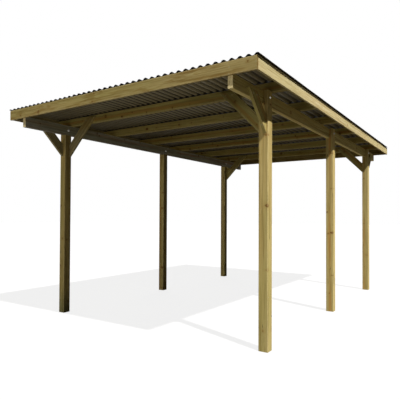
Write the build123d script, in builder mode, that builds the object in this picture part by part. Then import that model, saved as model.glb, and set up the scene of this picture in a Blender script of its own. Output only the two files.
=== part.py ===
"""Open timber carport with a flat roof.

Six notched posts carry two long beams.  Rafters lie across the beams, fascia boards close
the rafter ends and the two ends of the roof, and three corrugated sheets lie on top.  Each
corner post has two braces at 45 degrees: one along the beam and one under the end rafter.

Millimetres, +Z up.  The origin is on the ground under the middle of the roof.  The front is
towards -Y, left is towards -X.
"""
import os
from math import asin, cos, degrees, radians, sin, tan

from build123d import *

# Plan of the roof, to the outer faces of the fascia boards, and its overhang past the post centres
roof_width = 3148
roof_depth = 5150
side_overhang = 218
front_overhang = 616
rear_overhang = 650

# Posts: square section, and the eased long edges of all timbers
post_side = 90
edge_radius = 4

# Beams lie in a notch in the inner half of the posts
beam_thick = 45
beam_deep = 120
beam_underside = 2185

# Rafters lie across the beams
rafter_thick = 45
rafter_deep = 90
rafter_count = 6

# Fascia boards: the end ones level with the top of the rafters, the side ones up into the last wave
fascia_thick = 20
fascia_deep = 108
side_board_rise = 4
board_radius = 2

# Braces: section, slope, reach of the foot below the beam and lap on the timber that they hold
brace_thick = 30
brace_deep = 105
brace_slope = 45
brace_drop = 263
brace_lap = 63

# Corrugated sheets: pitch and height of the waves on the middle line, thickness, fit in the laps
wave_pitch = 73.2
wave_height = 18
sheet_thick = 1.2
lap_clearance = 0.3
lap_share = 0.35

# Levels and lines that follow from the sizes above
beam_top = beam_underside + beam_deep
rafter_top = beam_top + rafter_deep
brace_foot = beam_underside - brace_drop
post_x = roof_width / 2 - side_overhang
post_inner_x = post_x - post_side / 2
beam_outer_x = post_inner_x + beam_thick
front_post_y = -roof_depth / 2 + front_overhang
rear_post_y = roof_depth / 2 - rear_overhang
board_length = roof_depth - 2 * fascia_thick
rafter_length = roof_width - 2 * fascia_thick
sides = {"left": -1, "right": 1}
post_rows = {
    "front": front_post_y,
    "middle": (front_post_y + rear_post_y) / 2,
    "rear": rear_post_y,
}

os.makedirs("parts", exist_ok=True)


def save(piece, name):
    """Labels a finished piece and writes it to its own file."""
    piece.part.label = name
    export_step(piece.part, f"parts/{name}.step")


# Posts: the outer half rises beside the beam as a tongue
for side_name, side in sides.items():
    for row_name, post_y in post_rows.items():
        with BuildPart() as post:
            with BuildSketch() as post_section:
                with Locations((side * post_x, post_y)):
                    RectangleRounded(post_side, post_side, edge_radius)
            extrude(amount=beam_top)
            with BuildSketch(Plane.XY.offset(beam_underside)) as notch:
                with Locations((side * post_inner_x, post_y)):
                    Rectangle(2 * beam_thick, post_side)
            extrude(amount=beam_deep, mode=Mode.SUBTRACT)
        save(post, f"post_{row_name}_{side_name}")

# Beams: from the back of the front fascia to the back of the rear fascia
beam_x = (post_inner_x + beam_outer_x) / 2
for side_name, side in sides.items():
    with BuildPart() as beam:
        with BuildSketch(Plane.XZ.offset(-board_length / 2)) as beam_section:
            with Locations((side * beam_x, beam_underside + beam_deep / 2)):
                RectangleRounded(beam_thick, beam_deep, edge_radius)
        extrude(amount=board_length)
    save(beam, f"beam_{side_name}")

# Rafters: the first and the last lie against the rear faces of the corner posts' lines
first_rafter_y = post_rows["front"] + post_side / 2 + rafter_thick / 2
last_rafter_y = post_rows["rear"] + post_side / 2 + rafter_thick / 2
rafter_spacing = (last_rafter_y - first_rafter_y) / (rafter_count - 1)
for number in range(rafter_count):
    with BuildPart() as rafter:
        with BuildSketch(Plane.YZ.offset(-rafter_length / 2)) as rafter_section:
            with Locations((first_rafter_y + number * rafter_spacing, beam_top + rafter_deep / 2)):
                RectangleRounded(rafter_thick, rafter_deep, edge_radius)
        extrude(amount=rafter_length)
    save(rafter, f"rafter_{number + 1}")

# Fascia boards: the front and rear boards cover the ends of the side boards
fascia_z = rafter_top - fascia_deep / 2
for end_name, end in {"front": -1, "rear": 1}.items():
    with BuildPart() as end_fascia:
        with BuildSketch(Plane.YZ.offset(-roof_width / 2)) as end_board:
            with Locations((end * (roof_depth - fascia_thick) / 2, fascia_z)):
                RectangleRounded(fascia_thick, fascia_deep, board_radius)
        extrude(amount=roof_width)
    save(end_fascia, f"fascia_{end_name}")
for side_name, side in sides.items():
    with BuildPart() as side_fascia:
        with BuildSketch(Plane.XZ.offset(-board_length / 2)) as side_board:
            with Locations((side * (roof_width - fascia_thick) / 2, fascia_z + side_board_rise)):
                RectangleRounded(fascia_thick, fascia_deep, board_radius)
        extrude(amount=board_length)
    save(side_fascia, f"fascia_{side_name}")


def brace_outline(direction, face, underside):
    """Corners of a brace that leaves a post's face and laps the timber above from its underside up.

    The foot is cut plumb against the post and the head is cut level.
    """
    rise = tan(radians(brace_slope))
    foot_height = brace_deep / cos(radians(brace_slope))
    head = underside + brace_lap
    outer_reach = (head - brace_foot) / rise
    inner_reach = (head - brace_foot - foot_height) / rise
    return [
        (face, brace_foot),
        (face + direction * outer_reach, head),
        (face + direction * inner_reach, head),
        (face, brace_foot + foot_height),
    ]


# Braces along the beams: against the beam's outer face, from the corner posts outwards
for row_name, direction in {"front": -1, "rear": 1}.items():
    for side_name, side in sides.items():
        near_plane = min(side * beam_outer_x, side * (beam_outer_x + brace_thick))
        post_face = post_rows[row_name] + direction * post_side / 2
        with BuildPart() as side_brace:
            with BuildSketch(Plane.YZ.offset(near_plane)) as side_outline:
                Polygon(*brace_outline(direction, post_face, beam_underside), align=None)
            extrude(amount=brace_thick)
            run = Axis((0, 0, 0), (0, cos(radians(brace_slope)), direction * sin(radians(brace_slope))))
            fillet(side_brace.edges().filter_by(run), edge_radius)
        save(side_brace, f"brace_{row_name}_{side_name}_side")

# Braces under the end rafters: behind the middle of the corner posts, lapped on the rafter's face
for row_name in ("front", "rear"):
    for side_name, side in sides.items():
        rafter_face = post_rows[row_name] + post_side / 2
        post_face = side * post_inner_x
        with BuildPart() as cross_brace:
            with BuildSketch(Plane.XZ.offset(-rafter_face)) as cross_outline:
                Polygon(*brace_outline(-side, post_face, beam_top), align=None)
            extrude(amount=brace_thick)
            run = Axis((0, 0, 0), (cos(radians(brace_slope)), 0, -side * sin(radians(brace_slope))))
            fillet(cross_brace.edges().filter_by(run), edge_radius)
        save(cross_brace, f"brace_{row_name}_{side_name}_cross")

# Waves of the sheets: equal tangent arcs for crests and troughs on the middle line
amplitude = wave_height / 2
quarter = wave_pitch / 4
arc_radius = (quarter**2 + amplitude**2) / (2 * amplitude)
arc_angle = degrees(asin(quarter / arc_radius))
wave_count = round(roof_width / wave_pitch)
lap_crest = round(wave_count * lap_share)
lap_lift = (sheet_thick + lap_clearance) / cos(radians(arc_angle))


def crest_x(number):
    """Place of a crest across the roof; the outermost crests stand over the side fascias."""
    return (number - wave_count / 2) * wave_pitch


def wave_arcs(first, last, middle, shift):
    """Arcs from the first crest to the last along a line parallel to the middle one."""
    for half in range(2 * first, 2 * last + 1):
        up = 1 if half % 2 == 0 else -1
        radius = arc_radius + up * shift
        centre = middle + up * (amplitude - arc_radius)
        across = radius * sin(radians(arc_angle))
        ends = centre + up * radius * cos(radians(arc_angle))
        x = crest_x(half / 2)
        ThreePointArc((x - across, ends), (x, centre + up * radius), (x + across, ends))


# Sheets: flush with the end boards, and the middle one lies over the last crest of its neighbours
rest_middle = rafter_top + amplitude + sheet_thick / 2
sheets = {
    "left": (0, lap_crest, 0),
    "middle": (lap_crest, wave_count - lap_crest, lap_lift),
    "right": (wave_count - lap_crest, wave_count, 0),
}
for sheet_name, (first, last, lift) in sheets.items():
    with BuildPart() as sheet:
        with BuildSketch(Plane.XZ.offset(-roof_depth / 2)) as sheet_section:
            with BuildLine() as sheet_line:
                wave_arcs(first, last, rest_middle + lift, sheet_thick / 2)
                wave_arcs(first, last, rest_middle + lift, -sheet_thick / 2)
                corners = sheet_line.vertices().sort_by(Axis.X)
                Line(corners[0], corners[1])
                Line(corners[-2], corners[-1])
            make_face()
        extrude(amount=roof_depth)
    save(sheet, f"roof_sheet_{sheet_name}")
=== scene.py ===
"""Looks of an open timber carport: treated pine frame, black corrugated roof and steel fasteners.

Metres, +Z up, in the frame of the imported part: the front is towards -Y and the left towards -X.
"""
from math import asin, cos, pi, sin

import bpy
import numpy as np
from mathutils import Matrix, Vector


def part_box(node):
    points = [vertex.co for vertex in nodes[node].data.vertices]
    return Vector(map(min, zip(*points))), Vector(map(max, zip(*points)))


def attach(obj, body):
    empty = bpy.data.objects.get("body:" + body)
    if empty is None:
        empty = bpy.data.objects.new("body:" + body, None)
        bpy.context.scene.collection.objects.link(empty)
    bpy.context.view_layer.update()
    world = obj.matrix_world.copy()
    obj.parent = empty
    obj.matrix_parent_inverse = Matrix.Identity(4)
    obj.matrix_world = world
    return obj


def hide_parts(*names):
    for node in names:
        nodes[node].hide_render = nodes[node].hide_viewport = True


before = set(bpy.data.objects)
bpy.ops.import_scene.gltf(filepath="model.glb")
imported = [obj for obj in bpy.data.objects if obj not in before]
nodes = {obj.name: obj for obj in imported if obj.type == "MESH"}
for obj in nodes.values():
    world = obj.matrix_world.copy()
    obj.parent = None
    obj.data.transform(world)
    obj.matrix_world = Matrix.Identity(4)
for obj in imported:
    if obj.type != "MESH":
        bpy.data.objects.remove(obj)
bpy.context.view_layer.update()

MILLI = 0.001


def shade(red, green, blue):
    """A colour mixed on the 0 to 255 scale, as the linear colour that a shader takes."""
    mixed = np.array([red, green, blue]) / 255
    linear = np.where(mixed <= 0.04045, mixed / 12.92, ((mixed + 0.055) / 1.055) ** 2.4)
    return (*linear.tolist(), 1.0)


# Shader arithmetic


class Reading:
    """A value on a node tree: arithmetic on it adds Math nodes to that tree."""

    def __init__(self, finish, socket):
        self.finish, self.socket = finish, socket

    def __add__(self, other):
        return self.finish.maths("ADD", self, other)

    def __sub__(self, other):
        return self.finish.maths("SUBTRACT", self, other)

    def __mul__(self, other):
        return self.finish.maths("MULTIPLY", self, other)

    def __truediv__(self, other):
        return self.finish.maths("DIVIDE", self, other)

    def __rsub__(self, other):
        return self.finish.maths("SUBTRACT", other, self)

    def __rtruediv__(self, other):
        return self.finish.maths("DIVIDE", other, self)

    __radd__ = __add__
    __rmul__ = __mul__

    def __abs__(self):
        return self.finish.maths("ABSOLUTE", self)

    def __neg__(self):
        return self.finish.maths("MULTIPLY", self, -1.0)

    def root(self):
        return self.finish.maths("SQRT", self)

    def power_of_e(self):
        return self.finish.maths("EXPONENT", self)

    def fraction(self):
        return self.finish.maths("FRACT", self)

    def above(self, level):
        return self.finish.maths("GREATER_THAN", self, level)

    def eased(self, low, high):
        """0 below low, 1 above high and a smooth step between; low may be the larger of the two."""
        sockets = {"Value": self, "From Min": low, "From Max": high}
        return self.finish.node("ShaderNodeMapRange", {"interpolation_type": "SMOOTHSTEP"}, sockets)

    def also(self, output):
        """Another output of the same node."""
        return Reading(self.finish, self.socket.node.outputs[output])


class Finish:
    """The node tree of a material or of the world."""

    def __init__(self, owner):
        owner.use_nodes = True
        self.owner, self.tree = owner, owner.node_tree
        self.tree.nodes.clear()

    def node(self, kind, settings, sockets, output=0):
        """Adds a node, sets it up, then fills or links its sockets, and gives one of its outputs."""
        made = self.tree.nodes.new(kind)
        for key, value in settings.items():
            setattr(made, key, value)
        for key, value in sockets.items():
            if isinstance(value, Reading):
                self.tree.links.new(value.socket, made.inputs[key])
            else:
                made.inputs[key].default_value = value
        return Reading(self, made.outputs[output]) if len(made.outputs) else None

    def maths(self, operation, *values):
        """One Math node on values or numbers."""
        return self.node("ShaderNodeMath", {"operation": operation}, dict(enumerate(values)))

    def place(self):
        """The point on the piece, in metres in the frame of the part."""
        return self.node("ShaderNodeTexCoord", {}, {}, "Object")

    def split(self, vector):
        """The three values of a vector or a colour."""
        first = self.node("ShaderNodeSeparateXYZ", {}, {0: vector})
        return first, first.also(1), first.also(2)

    def join(self, *values):
        """A vector from two or three values."""
        return self.node("ShaderNodeCombineXYZ", {}, dict(enumerate(values)))

    def shifted(self, vector, by):
        """A vector moved by a fixed one."""
        return self.node("ShaderNodeVectorMath", {"operation": "ADD"}, {0: vector, 1: by})

    def stretched(self, vector, by):
        """A vector with each of its values multiplied by a fixed one."""
        return self.node("ShaderNodeVectorMath", {"operation": "MULTIPLY"}, {0: vector, 1: by})

    def noise(self, vector, detail=2.0, roughness=0.5, output=0):
        """Noise of one cell for each unit of the vector; output 1 gives three noises as a colour."""
        sockets = {"Vector": vector, "Scale": 1.0, "Detail": detail, "Roughness": roughness}
        return self.node("ShaderNodeTexNoise", {}, sockets, output)

    def blended(self, share, first, second, way="MIX"):
        """A colour between two, by the share of the second."""
        settings = {"data_type": "RGBA", "blend_type": way}
        return self.node("ShaderNodeMix", settings, {0: share, 6: first, 7: second}, 2)

    def tinted(self, share, colour, tint):
        """A colour multiplied by a tint, by the given share."""
        return self.blended(share, colour, (*tint[:3], 1.0), "MULTIPLY")

    def surfaced(self, colour, roughness, height, **constants):
        """Closes the material with a Principled shader; height is in metres."""
        bumped = self.node("ShaderNodeBump", {}, {"Strength": 1.0, "Distance": 1.0, "Height": height})
        sockets = {"Base Color": colour, "Roughness": roughness, "Normal": bumped}
        sockets.update({key.replace("_", " "): value for key, value in constants.items()})
        shader = self.node("ShaderNodeBsdfPrincipled", {}, sockets)
        self.node("ShaderNodeOutputMaterial", {}, {"Surface": shader})
        return self.owner


# Timber

X, Y, Z = Vector((1, 0, 0)), Vector((0, 1, 0)), Vector((0, 0, 1))
BRACE_DEEP = 105 * MILLI
FIRST_SEED = 100

# Kinds of timber, with these values:
# pith: place of the heart of the tree across and through the timber, in millimetres
# ring: width of the growth rings, in millimetres
# whorl: spacing of the knots along the timber, in metres
# clear: share of the places for knots that stay clear
# cracks: level of a noise over which the surface cracks, so a high one gives few cracks
# stain: tint of the whole timber, where the side boards are the palest and the braces the darkest
# under: tint of a face that looks down, painted light where above 1 and painted shade where below 1
# mottle: share of brown mottling
KINDS = {
    "post": {
        "pith": (20, 22), "ring": 4.2, "whorl": 0.34, "clear": 0.40, "cracks": 0.52,
        "stain": (0.838, 0.838, 0.762), "under": (1.0, 1.0, 1.0), "mottle": 0.0,
    },
    "beam": {
        "pith": (16, 46), "ring": 3.8, "whorl": 0.30, "clear": 0.50, "cracks": 0.60,
        "stain": (0.90, 0.94, 0.85), "under": (1.55, 1.58, 1.80), "mottle": 0.0,
    },
    "rafter": {
        "pith": (12, 42), "ring": 3.6, "whorl": 0.28, "clear": 0.50, "cracks": 0.62,
        "stain": (0.74, 0.76, 0.58), "under": (0.88, 0.86, 0.90), "mottle": 0.0,
    },
    "brace": {
        "pith": (18, 40), "ring": 3.4, "whorl": 0.22, "clear": 0.60, "cracks": 0.70,
        "stain": (0.54, 0.56, 0.46), "under": (1.0, 1.0, 1.0), "mottle": 0.0,
    },
    "side": {
        "pith": (14, 52), "ring": 2.8, "whorl": 0.31, "clear": 0.78, "cracks": 0.72,
        "stain": (0.93, 0.97, 1.17), "under": (1.0, 1.0, 1.0), "mottle": 0.0,
    },
    "end": {
        "pith": (14, 52), "ring": 3.2, "whorl": 0.24, "clear": 0.30, "cracks": 0.72,
        "stain": (0.59, 0.58, 0.52), "under": (1.2, 1.2, 1.3), "mottle": 0.55,
    },
}
# Timbers that are darker, paler or greyer than the rest of their kind
TONE = {
    # The left beam: darker and greyer, a painted shade
    "beam_left": (0.68, 0.79, 1.75),
    "brace_front_left_cross": (0.92, 0.94, 1.35),
    "brace_front_left_side": (0.97, 1.0, 1.45),
    "brace_front_right_cross": 0.85,
    "brace_front_right_side": 1.25,
    "brace_rear_left_cross": 1.30,
    "brace_rear_left_side": 1.40,
    "brace_rear_right_cross": 1.35,
    "brace_rear_right_side": 1.30,
    "post_front_left": 1.07,
    "post_middle_right": 1.13,
    "post_rear_right": 1.08,
}
# Posts cut so that the heart of the tree runs close under the front, with their pith in millimetres
HEART_FRONT = {"post_middle_right": (3, -64), "post_rear_right": (-16, -62), "post_front_right": (-14, -80)}
# Posts whose knots lie lower, or with a minus higher, than chance would put them, in metres
KNOTS_LOWER = {"post_front_right": 0.22, "post_middle_right": -0.25}
# Posts with a painted shade at the foot: the dark, greener tint there, the heights in metres at which it
# starts and is full, and how unevenly it rises
FOOT_PAINTED_SHADE = {"post_front_left": (0.60, 0.68, 0.74)}
FOOT_SHADE_FROM, FOOT_SHADE_FULL, FOOT_SHADE_UNEVEN = 0.42, 0.10, 0.15
# Timbers with a painted shade on their side towards the bay: the share of light it keeps, and the stretch
# in which it turns dark, in metres from the foot of a post or the front end of a board
INSIDE_PAINTED_SHADE = {
    "fascia_left": (0.55, 0.0, 0.1),
    "post_front_left": (0.58, 1.1, 2.2),
    "post_middle_left": (0.62, 0.5, 1.0),
    "post_rear_left": (0.66, 0.5, 1.0),
}
# Rafters with a painted shade on their right end: the share of light it keeps, and the stretch in which it
# turns dark, in metres from the middle
RIGHT_END_PAINTED_SHADE = {"rafter_1": (0.72, 0.25, 0.95), "rafter_2": (0.72, 0.25, 0.95)}
# Beams with a painted shade on their underside, with the share of light it keeps
UNDERSIDE_PAINTED_SHADE = {"beam_left": 0.50}
# Braces whose head under the rafter that it laps has a painted shade in that rafter's colour: the tint
# there, and the heights between which it comes in
HEAD_PAINTED_SHADE = {"brace_front_left_cross": (1.06, 0.94, 0.62), "brace_front_right_cross": (0.78, 0.76, 0.68)}
RAFTER_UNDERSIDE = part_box("rafter_1")[0].z
HEAD_FROM, HEAD_FULL = RAFTER_UNDERSIDE - 130 * MILLI, RAFTER_UNDERSIDE - 20 * MILLI

EARLY_WOOD, LATE_WOOD = shade(236, 219, 160), shade(203, 176, 105)
HONEY, TREATED_GREEN = shade(217, 188, 118), shade(200, 192, 120)
HEARTWOOD, KNOT_HALO = shade(214, 162, 92), shade(190, 150, 84)
KNOT_HEART, KNOT_RIM = shade(150, 104, 54), shade(104, 72, 38)
# The pale end colour of the beams is fresh-cut wood with painted light added
END_GRAIN, FRESH_END_AND_LIGHT = shade(128, 108, 62), shade(254, 238, 186)
END_LATE = shade(150, 122, 70)
# The pale edge colour is wear with a painted highlight
EDGE_WEAR_AND_HIGHLIGHT, CRACK = shade(222, 207, 158), shade(38, 28, 14)
FIBRE_TINT, MOTTLE = shade(170, 150, 104), shade(188, 160, 96)

# Pith line: the whole width in which it wanders
PITH_WANDER = 30 * MILLI
# Heartwood: the radius at which it ends, and the one at which it is full
HEART_EDGE, HEART_FULL = 40 * MILLI, 26 * MILLI
# Knots: places round the pith for each whorl, radius of the smallest, and what chance adds to it
TURN_CELLS = 4
KNOT_RADIUS, KNOT_GROWTH = 4.5 * MILLI, 11 * MILLI
# Pale edges, wear with a painted highlight: how far they reach from the arris on each face
EDGE_WEAR_AND_HIGHLIGHT_WIDTH = 9.5 * MILLI


def lie_of(name):
    """Directions of a timber: along its length, across its wide face and through its thickness."""
    words = name.split("_")
    if words[0] == "post":
        along, across = Z, X
    elif words[0] == "brace":
        outward = {"front": -Y, "rear": Y}[words[1]]
        inward = {"left": X, "right": -X}[words[2]]
        run = outward if words[3] == "side" else inward
        along, across = (run + Z).normalized(), (run - Z).normalized()
    elif words[0] == "beam" or words[1] in ("left", "right"):
        along, across = Y, Z
    else:
        along, across = X, Z
    return along, across, along.cross(across)


def kind_of(name):
    """The kind of timber: fascia boards differ between the long sides and the two ends."""
    first, second = name.split("_")[:2]
    if first == "fascia":
        first = "side" if second in ("left", "right") else "end"
    return KINDS[first]


def middle_and_half(name, lie):
    """Middle of a timber, and half of its length, width and thickness.

    The lower edge of a brace runs through the middle of its box, so its own middle line lies above that.
    """
    low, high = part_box(name)
    middle, half = (low + high) / 2, (high - low) / 2
    spans = [sum(abs(part) * reach for part, reach in zip(direction, half)) for direction in lie]
    if name.startswith("brace"):
        middle -= lie[1] * BRACE_DEEP / 2
        spans[1] = BRACE_DEEP / 2
    return middle, spans


def shaded_places(pine, name, colour, along, normal, foot_shade_noise, half_length):
    """Adds the painted shade that only some timbers have at their foot, inner side, head or right end.

    The share of each tint eases from 0 to 1 along the timber or up its height, and the one on the inner side
    also eases with the normal.
    """
    if name in FOOT_PAINTED_SHADE:
        foot_shade = (along + half_length + foot_shade_noise * FOOT_SHADE_UNEVEN).eased(FOOT_SHADE_FROM, FOOT_SHADE_FULL)
        colour = pine.tinted(foot_shade, colour, FOOT_PAINTED_SHADE[name])
    if name in INSIDE_PAINTED_SHADE:
        kept, fair_up_to, dark_from = INSIDE_PAINTED_SHADE[name]
        inner_side = pine.split(normal)[0].eased(0.5, 0.85)
        dark = inner_side * (along + half_length).eased(fair_up_to, dark_from)
        colour = pine.tinted(dark, colour, (kept, kept, kept))
    if name in HEAD_PAINTED_SHADE:
        head = pine.split(pine.place())[2].eased(HEAD_FROM, HEAD_FULL)
        colour = pine.tinted(head, colour, HEAD_PAINTED_SHADE[name])
    if name in RIGHT_END_PAINTED_SHADE:
        kept, fair_up_to, dark_from = RIGHT_END_PAINTED_SHADE[name]
        colour = pine.tinted(along.eased(fair_up_to, dark_from), colour, (kept, kept, kept))
    return colour


def treated_pine(name, number):
    """Solid pine worked out from the place inside the timber.

    Growth rings are cylinders round a wandering pith line.  Knots are spikes out of the pith, one or none in
    each cell of length and turn round it, and they push the rings outwards.  Fibres are noise drawn out along
    the length.  End grain follows from the normal, pale edges of wear with a painted highlight from the
    distance to the arris, and drying cracks are the level lines of a noise that hardly changes along the
    timber.  Faces that look down and some places carry painted light and shade, and the beams' pale ends
    carry painted light.
    """
    kind = kind_of(name)
    draw = np.random.default_rng(number)
    lie = lie_of(name)
    middle, half = middle_and_half(name, lie)
    turning = Matrix(lie).transposed().to_euler("XYZ")
    side = draw.choice([-1, 1], 2)
    pith = np.array(kind["pith"]) * side * draw.uniform(0.7, 1.3, 2) * MILLI
    if name in HEART_FRONT:
        pith = np.array(HEART_FRONT[name]) * MILLI
    seed = draw.uniform(-40, 40, 3).tolist()
    tone = draw.uniform(0, 1, 2)

    pine = Finish(bpy.data.materials.new(f"treated_pine_{name}"))
    sockets = {"Vector": pine.place(), "Location": middle, "Rotation": turning}
    inside = pine.node("ShaderNodeMapping", {"vector_type": "TEXTURE"}, sockets)
    along, across, through = pine.split(inside)
    seeded = pine.shifted(inside, seed)

    # Pith line that wanders across and through the timber
    wander = pine.noise(pine.stretched(seeded, (1.4, 4.0, 4.0)), 1.0, output=1)
    drift, sway_across, sway_through = pine.split(wander)
    from_pith = across - float(pith[0]) + (sway_across - 0.5) * PITH_WANDER
    beside_pith = through - float(pith[1]) + (sway_through - 0.5) * PITH_WANDER
    radius = (from_pith * from_pith + beside_pith * beside_pith).root()
    turn = pine.maths("ARCTAN2", beside_pith, from_pith) / (2 * pi)

    # Knots, measured in their own radii, and none on the seam where the turn round the pith starts again
    cell_along = (along + KNOTS_LOWER.get(name, 0.0)) / kind["whorl"] + seed[0]
    cell_turn = turn * TURN_CELLS + seed[1]
    settings = {"voronoi_dimensions": "2D"}
    sockets = {"Vector": pine.join(cell_along, cell_turn), "Scale": 1.0, "Randomness": 0.85}
    heart = pine.node("ShaderNodeTexVoronoi", settings, sockets, "Position")
    heart_along, heart_turn, _ = pine.split(heart)
    drawn_size, drawn_there, drawn_tint = pine.split(heart.also("Color"))
    off_along = (cell_along - heart_along) * kind["whorl"]
    off_turn = (cell_turn - heart_turn) * (2 * pi / TURN_CELLS) * radius
    ragged = pine.noise(pine.stretched(seeded, (55, 55, 55)), 2.0)
    knot_radius = drawn_size * drawn_size * KNOT_GROWTH + KNOT_RADIUS
    away = (off_along * off_along + off_turn * off_turn).root() / knot_radius * (ragged * 0.5 + 0.75)
    there = drawn_there.above(kind["clear"]) * abs(turn).eased(0.49, 0.45)
    knot = there * away.eased(1.0, 0.82)
    rim = there * away.eased(0.7, 0.95) * away.eased(1.35, 1.0)
    swirl = there * (-(away * away) / 6.0).power_of_e()

    # Growth rings, pale early wood that darkens to a sharp late edge
    grown = (radius - swirl * knot_radius * 1.3) / (kind["ring"] * MILLI) + drift * 1.6
    step = grown.fraction()
    late = step.eased(0.25, 0.85) * step.eased(1.0, 0.9)
    bands = pine.noise(pine.join(grown * 0.16, along * 0.35, seed[2]), 2.0)
    slow = pine.noise(pine.stretched(seeded, (0.9, 7, 7)), 2.0)
    streaks = pine.noise(pine.stretched(seeded, (1.6, 60, 60)), 3.0, 0.6)
    fibres = pine.noise(pine.stretched(seeded, (9, 420, 420)), 2.0, 0.6)

    # Ends, undersides, mottling, pale edges and cracks; the edges are wear with a painted highlight
    normal = pine.node("ShaderNodeNewGeometry", {}, {}, "True Normal")
    facing = pine.node("ShaderNodeVectorMath", {"operation": "DOT_PRODUCT"}, {0: normal, 1: lie[0]}, 1)
    end = abs(facing).eased(0.45, 0.75)
    looks_down = pine.split(normal)[2].eased(-0.5, -0.85)
    mottled = pine.noise(pine.stretched(seeded, (3.5, 22, 22)), 3.0, 0.6).eased(0.45, 0.62)
    to_arris = (half[1] - abs(across)) + (half[2] - abs(through))
    edge_wear_and_highlight = to_arris.eased(EDGE_WEAR_AND_HIGHLIGHT_WIDTH, 0.0) * ragged.eased(0.25, 0.6) * (1 - end)
    level = pine.noise(pine.stretched(seeded, (0.55, 13, 13)), 1.0)
    dry = pine.noise(pine.stretched(seeded, (1.9, 5, 5)), 1.0)
    split_here = dry.eased(kind["cracks"], kind["cracks"] + 0.08)
    crack = abs(level - 0.5).eased(0.0045, 0.0015) * split_here * (1 - knot)

    # Colours, from the rings to the treatment, with painted light and shade, and the sawn ends over them
    colour = pine.blended(late * 0.62, EARLY_WOOD, LATE_WOOD)
    colour = pine.blended(bands.eased(0.35, 0.72) * float(0.35 + 0.25 * tone[0]), colour, HONEY)
    heartwood = (radius + slow * 0.014 + streaks * 0.010).eased(HEART_EDGE, HEART_FULL)
    colour = pine.blended(heartwood * 0.75, colour, HEARTWOOD)
    colour = pine.blended(slow.eased(0.42, 0.7) * float(0.25 + 0.35 * tone[1]), colour, TREATED_GREEN)
    colour = pine.tinted(streaks.eased(0.42, 0.75) * 0.62, colour, FIBRE_TINT)
    colour = pine.tinted(fibres.eased(0.4, 0.8) * 0.30, colour, FIBRE_TINT)
    colour = pine.blended(swirl * 0.40, colour, KNOT_HALO)
    colour = pine.blended(knot * (drawn_tint * 0.55 + 0.35), colour, KNOT_HEART)
    colour = pine.blended(rim * (drawn_tint * 0.60 + 0.10), colour, KNOT_RIM)
    colour = pine.tinted(mottled * kind["mottle"], colour, MOTTLE)
    stain = np.array(kind["stain"]) * np.array(TONE.get(name, 1.0))
    colour = pine.tinted(1.0, colour, stain.tolist())
    # Painted light on faces that look down where the tint is above 1, painted shade where it is below 1
    under = np.array(kind["under"]) * UNDERSIDE_PAINTED_SHADE.get(name, 1.0)
    colour = pine.tinted(looks_down, colour, under.tolist())
    colour = shaded_places(pine, name, colour, along, normal, slow, half[0])
    # The beams' ends: pale fresh-cut wood with painted light added
    sawn = pine.blended(late * 0.55, FRESH_END_AND_LIGHT if name.startswith("beam") else END_GRAIN, END_LATE)
    sawn = pine.tinted(ragged.eased(0.45, 0.75) * 0.35, sawn, FIBRE_TINT)
    colour = pine.blended(end * 0.92, colour, sawn)
    # Pale edges: wear with a painted highlight
    colour = pine.blended(edge_wear_and_highlight * 0.50, colour, EDGE_WEAR_AND_HIGHLIGHT)
    colour = pine.blended(crack * 0.65, colour, CRACK)
    roughness = fibres * 0.16 + end * 0.12 - knot * 0.12 - late * 0.06 + 0.68
    height = (fibres * 0.22 + late * 0.12 + knot * 0.5 - crack * 1.2 + streaks * 0.3) * MILLI
    return pine.surfaced(colour, roughness, height, Specular_IOR_Level=0.06)


timbers = sorted(name for name in nodes if not name.startswith("roof_sheet"))
for number, name in enumerate(timbers):
    finish = treated_pine(name, FIRST_SEED + number)
    nodes[name].data.materials.clear()
    nodes[name].data.materials.append(finish)


# Shapes

# Edges that turn by less than this are shaded smooth
SMOOTH_UNDER = 35 * pi / 180


def grown_piece(name, points, faces, finish):
    """Puts worked-out points and faces into a mesh that rides on the part."""
    mesh = bpy.data.meshes.new(name)
    mesh.from_pydata(points.tolist(), [], faces)
    mesh.update()
    mesh.polygons.foreach_set("use_smooth", np.ones(len(mesh.polygons), bool))
    mesh.set_sharp_from_angle(angle=SMOOTH_UNDER)
    mesh.materials.append(finish)
    piece = bpy.data.objects.new(name, mesh)
    bpy.context.scene.collection.objects.link(piece)
    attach(piece, "root")
    return piece


def turned(profile, steps, corners=0):
    """A profile of (radius, height) rows carried round an axis, closed at a point at both ends.

    Each row is a ring of radius times (cos turn, sin turn) at its height.  With corners the ring is a
    polygon: the radius is to its corners and falls between them as cos(half) / cos(turn from the middle).
    """
    radii, heights = np.array(profile).T
    turn = np.arange(steps) * 2 * pi / steps
    reach = np.ones(steps)
    if corners:
        half = pi / corners
        reach = cos(half) / np.cos(np.mod(turn, 2 * half) - half)
    rings = np.stack(
        [
            radii[1:-1, None] * reach * np.cos(turn),
            radii[1:-1, None] * reach * np.sin(turn),
            np.broadcast_to(heights[1:-1, None], (len(radii) - 2, steps)),
        ],
        axis=-1,
    )
    points = np.concatenate([rings.reshape(-1, 3), [[0, 0, heights[0]], [0, 0, heights[-1]]]])
    count = len(radii) - 2
    first, last = count * steps, count * steps + 1
    ring, here = np.meshgrid(np.arange(count - 1), np.arange(steps), indexing="ij")
    after = (here + 1) % steps
    low, high = ring * steps, (ring + 1) * steps
    quads = np.stack([low + here, low + after, high + after, high + here], -1).reshape(-1, 4)
    around = np.arange(steps)
    beyond = (around + 1) % steps
    top = (count - 1) * steps
    fans = np.concatenate(
        [
            np.stack([np.full(steps, first), beyond, around], -1),
            np.stack([np.full(steps, last), top + around, top + beyond], -1),
        ]
    )
    return points, quads, fans


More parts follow.
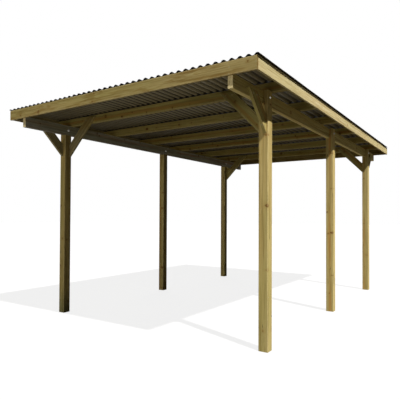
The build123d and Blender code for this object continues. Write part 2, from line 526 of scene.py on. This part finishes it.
def set_out(shape, origins, axis, roll=None):
    """Copies of a turned shape at the origins, with its own axis laid along the given one."""
    points, quads, fans = shape
    origins = np.atleast_2d(np.asarray(origins, float))
    axis = np.asarray(axis, float) / np.linalg.norm(axis)
    aside = np.cross(axis, (0, 0, 1) if abs(axis[2]) < 0.9 else (0, 1, 0))
    aside /= np.linalg.norm(aside)
    roll = np.zeros(len(origins)) if roll is None else np.asarray(roll, float)
    first = np.cos(roll)[:, None] * aside + np.sin(roll)[:, None] * np.cross(axis, aside)
    second = np.cross(axis, first)
    copies = (
        origins[:, None]
        + points[None, :, 0, None] * first[:, None]
        + points[None, :, 1, None] * second[:, None]
        + points[None, :, 2, None] * axis
    )
    starts = np.arange(len(origins)) * len(points)
    all_quads = (quads[None] + starts[:, None, None]).reshape(-1, 4)
    all_fans = (fans[None] + starts[:, None, None]).reshape(-1, 3)
    return copies.reshape(-1, 3), all_quads, all_fans


def gathered(*sets):
    """One set of points and faces from several."""
    starts = np.cumsum([0] + [len(points) for points, _, _ in sets])
    points = np.concatenate([points for points, _, _ in sets])
    faces = []
    for start, (_, quads, fans) in zip(starts, sets):
        faces += (quads + start).tolist() + (fans + start).tolist()
    return points, faces


# Roof sheets

# Pitch and height of the waves on the middle line, thickness, and sag between two bearings
PITCH, WAVE, SHEET, SAG = 73.2 * MILLI, 18 * MILLI, 1.2 * MILLI, 1.2 * MILLI
# First and last crest of each sheet, counted from the left
SHEET_SPANS = {"left": (0, 15), "middle": (15, 28), "right": (28, 43)}
LAST_CREST = SHEET_SPANS["right"][1]
# Steps of the mesh round half a wave, and stations from one bearing to the next, both ends counted
ARC_STEPS, STATIONS = 9, 7
quarter, amplitude = PITCH / 4, WAVE / 2
arc_radius = (quarter**2 + amplitude**2) / (2 * amplitude)
arc_angle = asin(quarter / arc_radius)
rafters = sorted(name for name in nodes if name.startswith("rafter"))
rafter_lines = [sum(corner.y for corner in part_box(name)) / 2 for name in rafters]
board_lines = [sum(corner.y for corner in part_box(f"fascia_{end}")) / 2 for end in ("front", "rear")]
bearings = np.sort(np.array(rafter_lines + board_lines))
RAFTER_SPACING = rafter_lines[1] - rafter_lines[0]
BOARD_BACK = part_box("fascia_rear")[0].y
SHEET_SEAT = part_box("roof_sheet_left")[0].z

SHEET_BLACK, SHEET_GREY, SHEET_DUST = shade(22, 21, 20), shade(32, 30, 27), shade(74, 71, 66)
# Underside: a brown of dust and painted sheen at the rear, paler with painted light at the front
UNDERSIDE_DUST_AND_SHEEN, UNDERSIDE_FRONT_LIGHT = shade(108, 98, 66), shade(178, 168, 136)
# Painted shade up in the waves and in the gaps over the rafters and the end boards; the first also darkens
# the underside towards the left
UNDER_RECESS, RAFTER_GAP_SHADE, BOARD_GAP_SHADE = shade(48, 38, 18), shade(14, 11, 6), shade(6, 5, 4)
GLOSS_TINT = shade(255, 236, 196)


def black_sheet():
    """Semi-matt black sheet: a fine grain all over, streaks down the waves and dust in the valleys.

    The underside is a brown of dust and painted sheen.  Painted light makes it paler towards the front, and
    painted shade makes it darker up in the waves and in the gaps over the rafters and the end boards.  It is
    also darker towards the left.
    """
    coat = Finish(bpy.data.materials.new("black_corrugated_sheet"))
    place = coat.place()
    across, depth, level = coat.split(place)
    grain = coat.noise(coat.stretched(place, (900, 600, 900)), 2.0, 0.6)
    streaks = coat.noise(coat.stretched(place, (90, 1.2, 40)), 3.0, 0.6)
    patches = coat.noise(coat.stretched(place, (3.2, 1.4, 3.2)), 3.0, 0.55)
    normal = coat.node("ShaderNodeNewGeometry", {}, {}, "True Normal")
    slope = coat.split(normal)[2]
    upward, downward = slope.eased(0.3, 0.8), slope.eased(-0.2, -0.6)
    above_seat = level - SHEET_SEAT
    valley = above_seat.eased(11 * MILLI, 2 * MILLI) * upward
    dust = valley * patches.eased(0.35, 0.7) * 0.35 + upward * streaks.eased(0.5, 0.85) * 0.14
    near_front, near_left = depth.eased(-0.4, -1.9), across.eased(0.4, -1.5)
    # Painted shade up in the waves
    recess = above_seat.eased(7 * MILLI, 16 * MILLI)
    bays = (depth - rafter_lines[0]) / RAFTER_SPACING + 0.5
    off_rafter = abs((bays + len(rafter_lines)).fraction() - 0.5) * RAFTER_SPACING
    # Painted shade in the gaps over the rafters and the end boards
    rafter_gap_shade_share = off_rafter.eased(60 * MILLI, 25 * MILLI) * downward
    board_gap_shade_share = abs(depth).eased(BOARD_BACK - 30 * MILLI, BOARD_BACK) * slope.eased(0.3, 0.0)

    # Underside of dust and painted sheen, paler towards the front as painted light
    under = coat.blended(near_front, UNDERSIDE_DUST_AND_SHEEN, UNDERSIDE_FRONT_LIGHT)
    under = coat.blended(recess * 0.80 + near_left * 0.3, under, UNDER_RECESS)
    colour = coat.blended(patches.eased(0.3, 0.7), SHEET_BLACK, SHEET_GREY)
    colour = coat.blended(downward * (streaks * 0.5 + 0.5), colour, under)
    colour = coat.blended(rafter_gap_shade_share * 0.9, colour, RAFTER_GAP_SHADE)
    colour = coat.blended(board_gap_shade_share, colour, BOARD_GAP_SHADE)
    colour = coat.blended(dust, colour, SHEET_DUST)
    roughness = dust * 0.3 + grain * 0.12 + patches * 0.10 + 0.40
    height = (grain * 0.06 + streaks * 0.12) * MILLI
    return coat.surfaced(colour, roughness, height, Specular_IOR_Level=0.05, Specular_Tint=GLOSS_TINT)


def wave_line(first, last):
    """Middle line of a sheet and its upward normal, as tangent arcs over half waves.

    A crest is centre + radius * (sin turn, cos turn), and a trough is the same turned upside down.
    """
    halves = np.arange(2 * first, 2 * last + 1)
    up = np.where(halves % 2 == 0, 1.0, -1.0)[:, None]
    turn = np.linspace(-arc_angle, arc_angle, ARC_STEPS + 1)[None, :-1]
    across = (halves[:, None] / 2 - LAST_CREST / 2) * PITCH + arc_radius * np.sin(turn)
    level = up * (amplitude - arc_radius + arc_radius * np.cos(turn))
    lean = up * np.sin(turn)
    rise = np.broadcast_to(np.cos(turn), lean.shape)
    end_across = (halves[-1:] / 2 - LAST_CREST / 2) * PITCH + arc_radius * sin(arc_angle)
    end = (end_across, level[-1:, 0], -lean[-1:, 0], rise[-1:, 0])
    rows = zip((across, level, lean, rise), end)
    return np.array([np.concatenate([row.ravel(), last_one]) for row, last_one in rows])


def corrugated(side):
    """A sheet: the wave line offset by half its thickness up and down, carried from the front to the rear.

    Between two bearings the sheet hangs by the sag times the squared sine of the way across the bay.
    """
    low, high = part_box(f"roof_sheet_{side}")
    across, level, lean, rise = wave_line(*SHEET_SPANS[side])
    middle = low.z + amplitude + SHEET / 2
    upper = np.stack([across + lean * SHEET / 2, middle + level + rise * SHEET / 2])
    under = np.stack([across - lean * SHEET / 2, middle + level - rise * SHEET / 2])
    section = np.concatenate([upper, under[:, ::-1]], axis=1)
    stops = np.concatenate([[low.y], bearings, [high.y]])
    stretches = [np.linspace(start, stop, STATIONS) for start, stop in zip(stops, stops[1:])]
    stations = np.unique(np.concatenate(stretches))
    bay = np.clip(np.searchsorted(bearings, stations, "right") - 1, 0, len(bearings) - 2)
    way = np.clip((stations - bearings[bay]) / (bearings[bay + 1] - bearings[bay]), 0, 1)
    hang = SAG * np.sin(way * pi) ** 2
    rows, count = len(stations), section.shape[1]
    points = np.stack(
        [
            np.broadcast_to(section[0], (rows, count)),
            np.broadcast_to(stations[:, None], (rows, count)),
            section[1] - hang[:, None],
        ],
        axis=-1,
    ).reshape(-1, 3)
    row, here = np.meshgrid(np.arange(rows - 1), np.arange(count), indexing="ij")
    after = (here + 1) % count
    near, far = row * count, (row + 1) * count
    skin = np.stack([near + here, near + after, far + after, far + here], -1).reshape(-1, 4)
    step = np.arange(count // 2 - 1)
    back = count - 1 - step
    front_edge = np.stack([step, back, back - 1, step + 1], -1)
    rear_edge = np.stack([step, step + 1, back - 1, back], -1) + (rows - 1) * count
    return points, np.concatenate([skin, front_edge, rear_edge]).tolist()


sheet_finish = black_sheet()
for side in SHEET_SPANS:
    sheet = grown_piece(f"sheet_{side}", *corrugated(side), sheet_finish)
    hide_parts(f"roof_sheet_{side}")


# Fasteners

CRYSTAL_GREY, RUSTY = shade(150, 152, 150), shade(112, 96, 74)


def zinc(name, tint, wear):
    """Galvanised steel: crystal patches of slightly different grey, brown spots and a dull coat."""
    steel = Finish(bpy.data.materials.new(name))
    place = steel.place()
    sockets = {"Vector": place, "Scale": 260.0}
    crystal = steel.split(steel.node("ShaderNodeTexVoronoi", {}, sockets, "Color"))[0]
    stain = steel.noise(steel.stretched(place, (70, 70, 70)), 3.0, 0.6)
    colour = steel.blended(crystal * 0.35, tint, CRYSTAL_GREY)
    colour = steel.blended(stain.eased(0.52, 0.75) * wear, colour, RUSTY)
    roughness = crystal * 0.10 + stain * 0.22 + 0.26
    height = (crystal * 0.03 + stain * 0.10) * MILLI
    return steel.surfaced(colour, roughness, height, Metallic=0.9)


bolt_zinc = zinc("galvanised_bolt", shade(206, 205, 198), wear=0.35)
screw_zinc = zinc("yellow_zinc_screw", shade(150, 136, 92), wear=0.6)
roof_zinc = zinc("roof_screw_steel", shade(120, 120, 120), wear=0.4)

# Profiles of radius and height above the seat, in millimetres, from the seat to the top
DOMED_HEAD = [(0, -1), (10.6, -1), (11.2, 0.4), (11.0, 1.6), (9.6, 3.4), (6.8, 5.0), (3.2, 5.8), (0, 6.0)]
WASHER = [(0, -1), (14.6, -1), (15, 0.4), (15, 2.2), (14.4, 2.8), (0, 2.8)]
NUT = [(0, 1), (9.2, 1), (9.8, 3.4), (9.8, 9.6), (8.8, 10.8), (0, 10.8)]
BOLT_END = [(0, 4), (5, 4), (5, 15.5), (4.2, 16.5), (0, 16.5)]
BRACE_SCREW = [(0, -1), (5.4, -1), (5.8, 0.4), (5.6, 1.3), (4.6, 2.2), (2.8, 2.4), (2.4, 1.0), (0, 0.9)]
BOARD_SCREW = [(0, -1), (4.0, -1), (4.2, 0.2), (3.6, 0.7), (1.9, 0.9), (1.5, 0.3), (0, 0.2)]
ROOF_WASHER = [(0, -0.5), (7.4, -0.5), (8, 1.2), (7.2, 2.4), (0, 2.6)]
ROOF_HEAD = [(0, 2), (5.4, 2), (5.4, 2.8), (4.6, 3.2), (4.6, 7.2), (4.0, 7.8), (0, 8.0)]


def metres(profile):
    """A profile in metres, from one in millimetres."""
    return [(radius * MILLI, height * MILLI) for radius, height in profile]


# Bolts through post and beam: a domed head outside, a washer and nut inside, the nut at a turn of its own
NUT_TURN = 0.4
for name in (name for name in timbers if name.startswith("post")):
    low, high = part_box(name)
    side = "left" if low.x < 0 else "right"
    outward = -1 if side == "left" else 1
    beam_low, beam_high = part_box(f"beam_{side}")
    centre_y, centre_z = (low.y + high.y) / 2, (beam_low.z + beam_high.z) / 2
    outer = (max(high.x, -low.x) * outward, centre_y, centre_z)
    inner = (min(abs(beam_low.x), abs(beam_high.x)) * outward, centre_y, centre_z)
    turn = [NUT_TURN + abs(centre_y)]
    bolt = gathered(
        set_out(turned(metres(DOMED_HEAD), steps=28), outer, (outward, 0, 0)),
        set_out(turned(metres(WASHER), steps=32), inner, (-outward, 0, 0)),
        set_out(turned(metres(NUT), steps=24, corners=6), inner, (-outward, 0, 0), turn),
        set_out(turned(metres(BOLT_END), steps=20), inner, (-outward, 0, 0)),
    )
    grown_piece(name.replace("post", "bolt"), *bolt, bolt_zinc)

# Screws of the side boards, in pairs at each rafter, and of the end boards, in pairs at each beam and at each
# side board
BOARD_INSET, BEAM_SCREW_INSET = 24 * MILLI, 6 * MILLI
board_screw = turned(metres(BOARD_SCREW), steps=16)
for side, outward in (("left", -1), ("right", 1)):
    low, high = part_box(f"fascia_{side}")
    face = high.x if outward > 0 else low.x
    lines = np.repeat(rafter_lines, 2)
    levels = np.tile([low.z + BOARD_INSET, high.z - 2 * BOARD_INSET], len(rafter_lines))
    spots = np.stack([np.full(len(lines), face), lines, levels], -1)
    heads = set_out(board_screw, spots, (outward, 0, 0))
    grown_piece(f"board_screws_{side}", *gathered(heads), screw_zinc)
for end, outward in (("front", -1), ("rear", 1)):
    low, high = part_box(f"fascia_{end}")
    face = high.y if outward > 0 else low.y
    beam_line = sum(abs(corner.x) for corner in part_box("beam_right")) / 2
    side_line = sum(abs(corner.x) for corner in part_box("fascia_right")) / 2
    across = np.repeat([-side_line, -beam_line, beam_line, side_line], 2)
    lower = low.z + np.array([BOARD_INSET, BEAM_SCREW_INSET, BEAM_SCREW_INSET, BOARD_INSET])
    upper = np.full(len(lower), high.z - 2 * BOARD_INSET)
    spots = np.stack([across, np.full(len(across), face), np.stack([lower, upper], -1).ravel()], -1)
    heads = set_out(board_screw, spots, (0, outward, 0))
    grown_piece(f"board_screws_{end}", *gathered(heads), screw_zinc)

# Screws of the braces: two through the lap into the timber above, one up through the foot into the post
FOOT_SCREW, SCREW_SPREAD = 62 * MILLI, 34 * MILLI
brace_screw = turned(metres(BRACE_SCREW), steps=18)
for name in (name for name in timbers if name.startswith("brace")):
    along, across, _ = lie_of(name)
    low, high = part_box(name)
    centre = (low + high) / 2
    side, way = name.split("_")[2:]
    if way == "side":
        outward = Vector((-1 if side == "left" else 1, 0, 0))
        bearing_level = (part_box("beam_left")[0].z + high.z) / 2
    else:
        outward = Vector((0, -1, 0))
        bearing_level = (RAFTER_UNDERSIDE + high.z) / 2
    run = (along - Z * along.z).normalized()
    face = centre + outward * (high - low).dot(Vector(map(abs, outward))) / 2
    lower_edge = face + (run + Z) * (bearing_level - centre.z)
    lap = lower_edge - run * BRACE_DEEP / (2 * along.z)
    spots = np.array([lap + run * SCREW_SPREAD, lap - run * SCREW_SPREAD])
    foot_place = centre + (run + Z) * (low.z + FOOT_SCREW - centre.z)
    screws = gathered(
        set_out(brace_screw, spots, outward),
        set_out(brace_screw, foot_place, across),
    )
    grown_piece(name.replace("brace", "brace_screws"), *screws, screw_zinc)

# Roof screws in every third valley, over each rafter, each head turned further than the last
VALLEY_STEP, HEAD_TURN = 3, 0.7
valleys = np.arange(1, LAST_CREST, VALLEY_STEP)
valley_x = (valleys + 0.5 - LAST_CREST / 2) * PITCH
valley_z = np.full(len(valleys), SHEET_SEAT + SHEET)
in_middle = (valleys >= SHEET_SPANS["middle"][0]) & (valleys < SHEET_SPANS["middle"][1])
valley_z[in_middle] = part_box("roof_sheet_middle")[0].z + SHEET
spots = np.stack(
    [
        np.tile(valley_x, len(rafter_lines)),
        np.repeat(rafter_lines, len(valleys)),
        np.tile(valley_z, len(rafter_lines)),
    ],
    -1,
)
rolls = np.arange(len(spots)) * HEAD_TURN
roof_screws = gathered(
    set_out(turned(metres(ROOF_WASHER), steps=12), spots, (0, 0, 1)),
    set_out(turned(metres(ROOF_HEAD), steps=12, corners=6), spots, (0, 0, 1), rolls),
)
grown_piece("roof_screws", *roof_screws, roof_zinc)


# Floor, light and camera

FLOOR_REACH, FLOOR_LEVEL = 60.0, -0.5 * MILLI
corners = np.array([[-1, -1], [1, -1], [1, 1], [-1, 1]]) * FLOOR_REACH
floor_points = np.column_stack([corners, np.full(len(corners), FLOOR_LEVEL)])
floor_mesh = bpy.data.meshes.new("floor")
floor_mesh.from_pydata(floor_points.tolist(), [], [(0, 1, 2, 3)])
floor = bpy.data.objects.new("floor", floor_mesh)
bpy.context.scene.collection.objects.link(floor)


def seen_directly(finish):
    """1 for what the camera sees, straight or by way of gloss or glass."""
    path = finish.node("ShaderNodeLightPath", {}, {}, "Is Camera Ray")
    seen = finish.maths("MAXIMUM", path, path.also("Is Glossy Ray"))
    return finish.maths("MAXIMUM", seen, path.also("Is Transmission Ray"))


WHITE, PALE_GREY = (1.0, 1.0, 1.0, 1.0), (0.85, 0.85, 0.85, 1.0)
# What the floor throws back at the part, and how much of the shadow shows on the white
FLOOR_BOUNCE = (0.070, 0.061, 0.041, 1.0)
SHADOW_SHARE = 0.16
ground = Finish(bpy.data.materials.new("pale_floor"))
bounce = ground.node("ShaderNodeBsdfDiffuse", {}, {"Color": FLOOR_BOUNCE})
lit = ground.node("ShaderNodeBsdfDiffuse", {}, {"Color": PALE_GREY})
paper = ground.node("ShaderNodeEmission", {}, {"Color": WHITE, "Strength": 1.0})
pale = ground.node("ShaderNodeMixShader", {}, {0: SHADOW_SHARE, 1: paper, 2: lit})
mixed = ground.node("ShaderNodeMixShader", {}, {0: seen_directly(ground), 1: bounce, 2: pale})
ground.node("ShaderNodeOutputMaterial", {}, {"Surface": mixed})
floor_mesh.materials.append(ground.owner)

SKY_TINT, SKY_STRENGTH = (0.95, 0.97, 1.0, 1.0), 0.004
world = bpy.data.worlds.new("studio")
bpy.context.scene.world = world
sky = Finish(world)
ambient = sky.node("ShaderNodeBackground", {}, {"Color": SKY_TINT, "Strength": SKY_STRENGTH})
paper = sky.node("ShaderNodeBackground", {}, {"Color": WHITE, "Strength": 1.0})
mixed = sky.node("ShaderNodeMixShader", {}, {0: seen_directly(sky), 1: ambient, 2: paper})
sky.node("ShaderNodeOutputWorld", {}, {"Surface": mixed})


def lamp(name, kind, place, aim, **settings):
    """A lamp that looks from its place to the aim."""
    data = bpy.data.lights.new(name, kind)
    for key, value in settings.items():
        setattr(data, key, value)
    made = bpy.data.objects.new(name, data)
    made.location = place
    made.rotation_euler = (Vector(aim) - Vector(place)).to_track_quat("-Z", "Y").to_euler()
    bpy.context.scene.collection.objects.link(made)


# A key high on the right, a fill low in front, one from the rear left, and a card that lights the underside
# from the ground in front
LAMP_DISTANCE, ORIGIN = 8, (0, 0, 0)
KEY_FROM = Vector((1.0, -0.365, 1.52)) * LAMP_DISTANCE
FILL_FROM = Vector((-0.30, -1.0, 0.12)) * LAMP_DISTANCE
REAR_FROM = Vector((-0.8, 1.0, 0.45)) * LAMP_DISTANCE
CARD_PLACE, CARD_AIM = (0.6, -4.9, 0.03), (0.6, -4.0, 6.0)
lamp("key", "SUN", KEY_FROM, ORIGIN, energy=5.2, angle=0.02, color=(1.0, 0.975, 0.96))
lamp("front_fill", "SUN", FILL_FROM, ORIGIN, energy=0.70, angle=0.7, color=(1.0, 0.96, 0.85))
lamp("rear_fill", "SUN", REAR_FROM, ORIGIN, energy=1.9, angle=0.9, color=(1.0, 0.97, 0.90))
lamp("ground_card", "AREA", CARD_PLACE, CARD_AIM, energy=30, shape="RECTANGLE", size=3.6, size_y=1.6)

# Camera: its place, its heading, tilt and lean in radians, and, in pixels of the 400 by 400 picture, its
# focal length and how far down the picture its centre lies
CAMERA_PLACE = Vector((2.9696, -5.4275, 1.1829))
HEADING, TILT, LEAN = -0.588, 0.0175, -0.0043
PICTURE, FOCAL, SENSOR = 400, 424.84, 36.0
CENTRE_DOWN = 209.26
forward = Vector((sin(HEADING) * cos(TILT), cos(HEADING) * cos(TILT), sin(TILT)))
level_right = Vector((cos(HEADING), -sin(HEADING), 0))
level_down = forward.cross(level_right)
right = level_right * cos(LEAN) + level_down * sin(LEAN)
down = level_down * cos(LEAN) - level_right * sin(LEAN)
camera_data = bpy.data.cameras.new("photo_camera")
camera_data.sensor_width = SENSOR
camera_data.lens = FOCAL / PICTURE * SENSOR
camera_data.shift_y = (CENTRE_DOWN - PICTURE / 2) / PICTURE
camera_data.clip_end = 200
camera = bpy.data.objects.new("photo_camera", camera_data)
camera_turn = Matrix((right, -down, -forward)).transposed().to_4x4()
camera.matrix_world = Matrix.Translation(CAMERA_PLACE) @ camera_turn
bpy.context.scene.collection.objects.link(camera)
bpy.context.scene.camera = camera
bpy.context.scene.view_settings.view_transform = "Standard"
